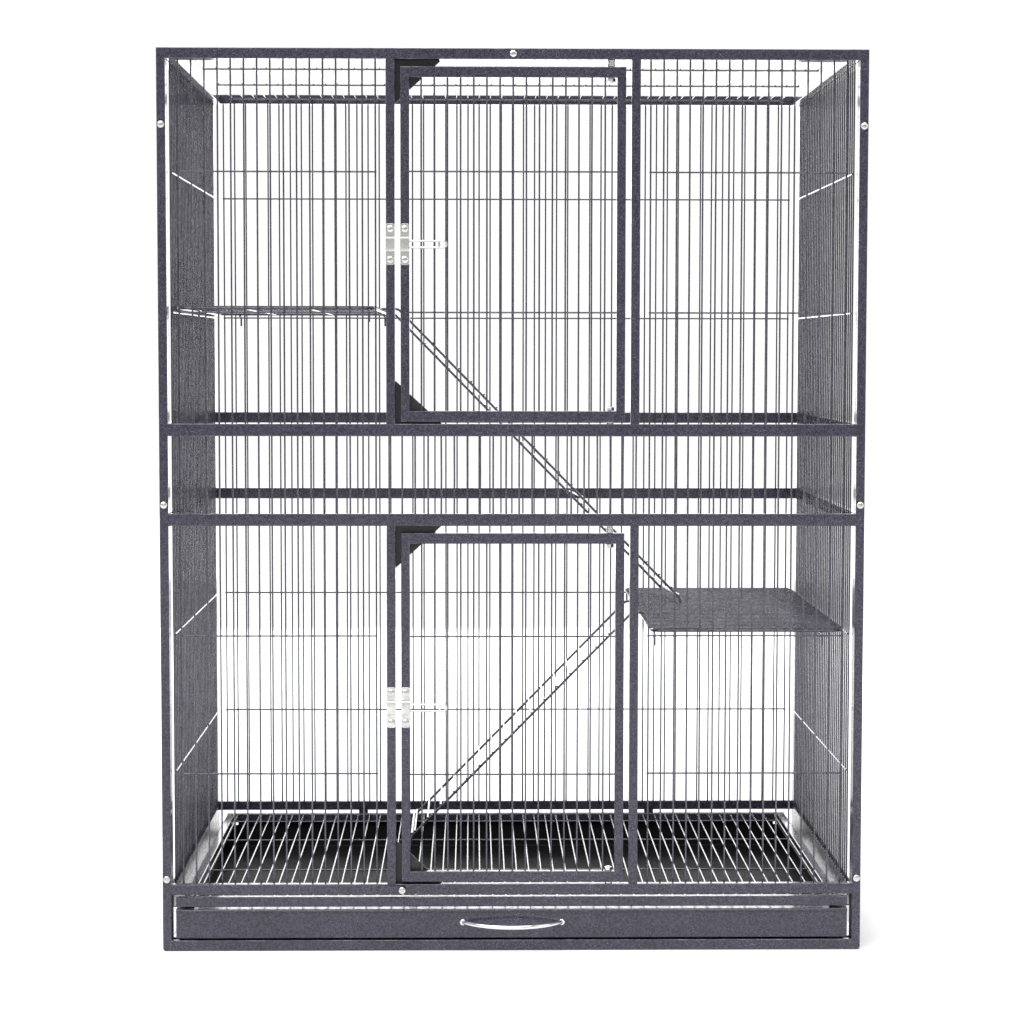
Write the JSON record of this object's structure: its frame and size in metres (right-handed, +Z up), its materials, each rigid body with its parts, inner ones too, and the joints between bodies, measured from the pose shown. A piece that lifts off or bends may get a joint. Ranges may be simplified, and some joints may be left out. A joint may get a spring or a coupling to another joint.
{
  "type": "wire rabbit cage",
  "caption": "Two-storey wire rabbit cage on a tube frame, with hinged front doors, shelves joined by ladders, a slide-out floor grate and a litter tray.",
  "frame": {"origin": "bottom centre of the whole cage's bounding box, on the floor plane", "axes": "+Z up, -Y towards the doors (front), +X to the right-hand side seen from the front"},
  "size_m": [0.79, 0.5498, 1.012],
  "materials": {
    "hammered_paint": "hammered semi-gloss powder coat",
    "wire_paint": "glossy powder coat over welded wire",
    "stop_paint": "dark satin coat",
    "zinc": "bright zinc plate",
    "handle_chrome": "polished",
    "tray_plastic": "black, matte"
  },
  "bodies": {
    "cage": {"front_frame": "hammered_paint", "back_frame": "hammered_paint", "left_side_frame": "hammered_paint", "right_side_frame": "hammered_paint", "top_frame": "hammered_paint", "front_left_mesh": "wire_paint", "front_right_mesh": "wire_paint", "front_middle_mesh": "wire_paint", "back_mesh": "wire_paint", "left_side_mesh": "wire_paint", "right_side_mesh": "wire_paint", "top_mesh": "wire_paint", "panel_screws": "zinc", "threaded_inserts": "zinc", "upper_door_pivots": "zinc", "upper_door_spacers": "zinc", "upper_door_stops": "stop_paint", "upper_latch_keeper": "zinc", "upper_keeper_screws": "zinc", "upper_shelf": "wire_paint", "lower_door_pivots": "zinc", "lower_door_spacers": "zinc", "lower_door_stops": "stop_paint", "lower_latch_keeper": "zinc", "lower_keeper_screws": "zinc", "lower_shelf": "wire_paint", "tray_runners": "hammered_paint", "grate_runners": "hammered_paint", "rear_stops": "stop_paint", "lock_tab_screw": "zinc"},
    "upper_door": {"upper_door_frame": "hammered_paint", "upper_door_mesh": "wire_paint", "upper_latch_plate": "zinc", "upper_latch_screws": "zinc"},
    "upper_link": {"upper_latch_link": "zinc"},
    "lower_door": {"lower_door_frame": "hammered_paint", "lower_door_mesh": "wire_paint", "lower_latch_plate": "zinc", "lower_latch_screws": "zinc"},
    "lower_link": {"lower_latch_link": "zinc"},
    "tray": {"tray_front": "hammered_paint", "tray_pan": "tray_plastic", "tray_handle": "handle_chrome", "handle_nuts": "zinc"},
    "floor_grate": {"grate_frame": "hammered_paint", "grate_mesh": "wire_paint"},
    "lock_tab_body": {"lock_tab": "hammered_paint"},
    "upper_ladder_body": {"upper_ladder": "wire_paint"},
    "lower_ladder_body": {"lower_ladder": "wire_paint"}
  },
  "joints": [
    {"name": "upper_door_hinge", "type": "hinge", "parent": "cage", "child": "upper_door", "pos_m": [0.1088, -0.24245, 0.795], "axis": [0, 0, 1], "range_deg": [0, 150]},
    {"name": "lower_door_hinge", "type": "hinge", "parent": "cage", "child": "lower_door", "pos_m": [0.1088, -0.24245, 0.276], "axis": [0, 0, 1], "range_deg": [0, 150]},
    {"name": "upper_latch_slide", "type": "slide", "parent": "upper_door", "child": "upper_link", "axis": [-1, 0, 0], "range_m": [0, 0.026]},
    {"name": "lower_latch_slide", "type": "slide", "parent": "lower_door", "child": "lower_link", "axis": [-1, 0, 0], "range_m": [0, 0.026]},
    {"name": "tray_slide", "type": "slide", "parent": "cage", "child": "tray", "axis": [0, 1, 0], "range_m": [-0.45, 0]},
    {"name": "grate_slide", "type": "slide", "parent": "cage", "child": "floor_grate", "axis": [0, -1, 0], "range_m": [0, 0.45]},
    {"name": "lock_tab_turn", "type": "hinge", "parent": "cage", "child": "lock_tab_body", "pos_m": [-0.1246, -0.2508, 0.07], "axis": [0, 1, 0], "range_deg": [-90, 0]},
    {"name": "upper_ladder_lift", "type": "hinge", "parent": "cage", "child": "upper_ladder_body", "pos_m": [-0.155, 0.1, 0.72385], "axis": [0, -1, 0], "range_deg": [0, 45]},
    {"name": "lower_ladder_lift", "type": "hinge", "parent": "cage", "child": "lower_ladder_body", "pos_m": [0.158, 0, 0.36015], "axis": [0, 1, 0], "range_deg": [0, 40]}
  ]
}
